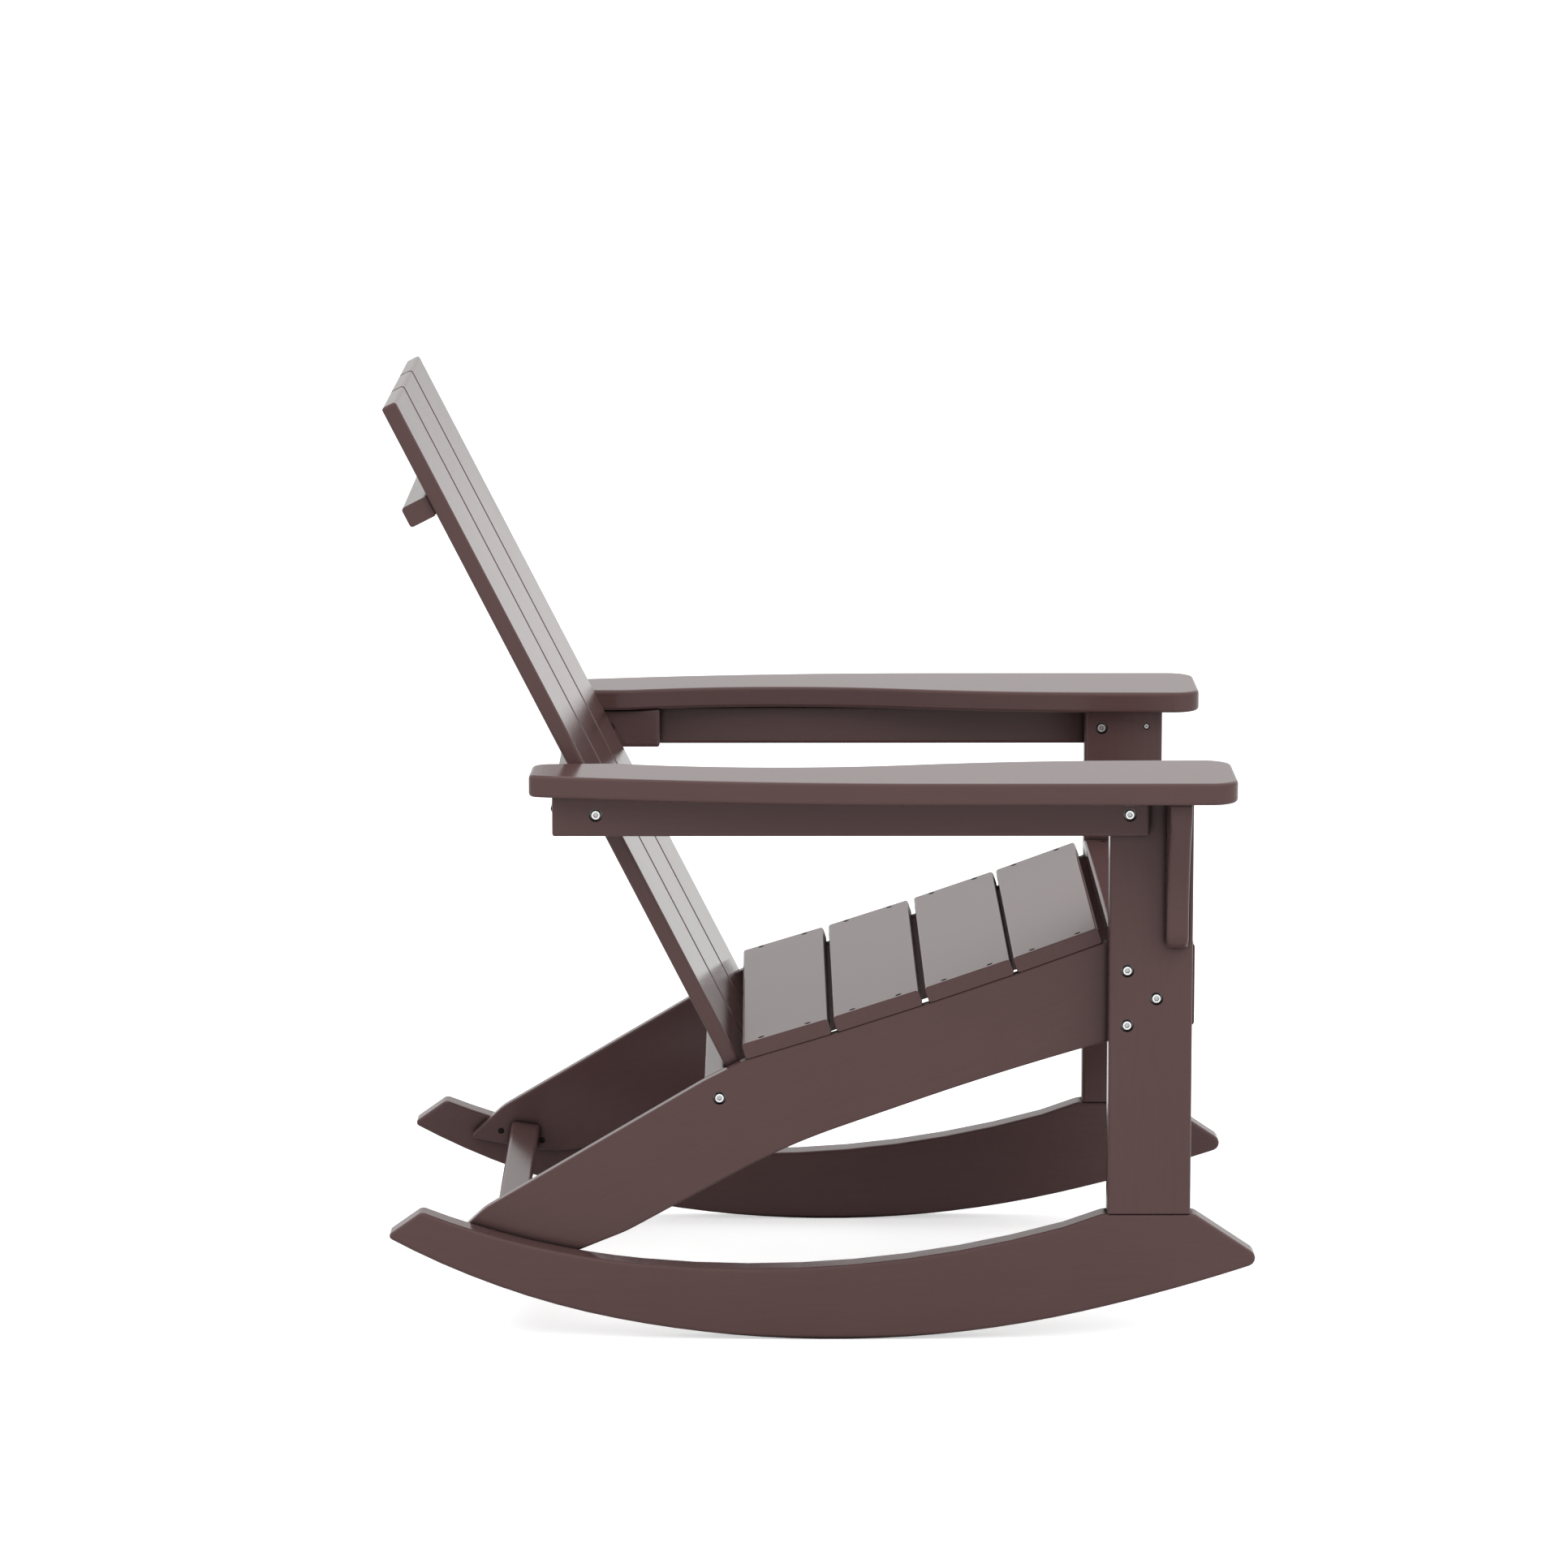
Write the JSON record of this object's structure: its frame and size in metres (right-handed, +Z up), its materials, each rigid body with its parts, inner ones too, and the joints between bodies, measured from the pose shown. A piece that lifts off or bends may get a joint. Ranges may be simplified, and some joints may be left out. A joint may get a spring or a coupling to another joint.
{
  "type": "rocking adirondack chair",
  "caption": "Rocking garden armchair of flat dark-brown boards: sloped slatted seat, reclined board back, broad flat arms and curved floor rockers.",
  "frame": {"origin": "on the floor, under the middle of the chair's bounding box", "axes": "+Z up, -Y towards the chair's front, +X towards the sitter's left"},
  "size_m": [0.759, 0.8772, 0.9471],
  "materials": {
    "board_plastic": "satin",
    "bright_steel": "satin",
    "dark_steel": "satin"
  },
  "bodies": {
    "root": {"rocker_right": "board_plastic", "rocker_left": "board_plastic", "front_leg_right": "board_plastic", "front_leg_left": "board_plastic", "seat_stringer_right": "board_plastic", "seat_stringer_left": "board_plastic", "seat_slat_1": "board_plastic", "seat_slat_2": "board_plastic", "seat_slat_3": "board_plastic", "seat_slat_4": "board_plastic", "seat_slat_front": "board_plastic", "apron": "board_plastic", "rear_stretcher": "board_plastic", "lower_beam": "board_plastic", "arm_beam": "board_plastic", "top_batten": "board_plastic", "back_board_right": "board_plastic", "back_board_middle": "board_plastic", "back_board_left": "board_plastic", "arm_rail_right": "board_plastic", "arm_rail_left": "board_plastic", "arm_block_right": "board_plastic", "arm_block_left": "board_plastic", "arm_right": "board_plastic", "arm_left": "board_plastic", "arm_bracket_right": "board_plastic", "arm_bracket_left": "board_plastic", "frame_bolts": "bright_steel", "sleeve_nuts": "bright_steel", "beam_bolts": "bright_steel", "foot_bolts": "bright_steel", "seat_screws": "dark_steel", "back_screws": "dark_steel", "arm_screws": "dark_steel", "rocker_screws": "dark_steel", "stretcher_screws": "dark_steel", "apron_screws": "dark_steel", "beam_end_screws": "dark_steel", "bracket_screws": "bright_steel"}
  },
  "joints": []
}
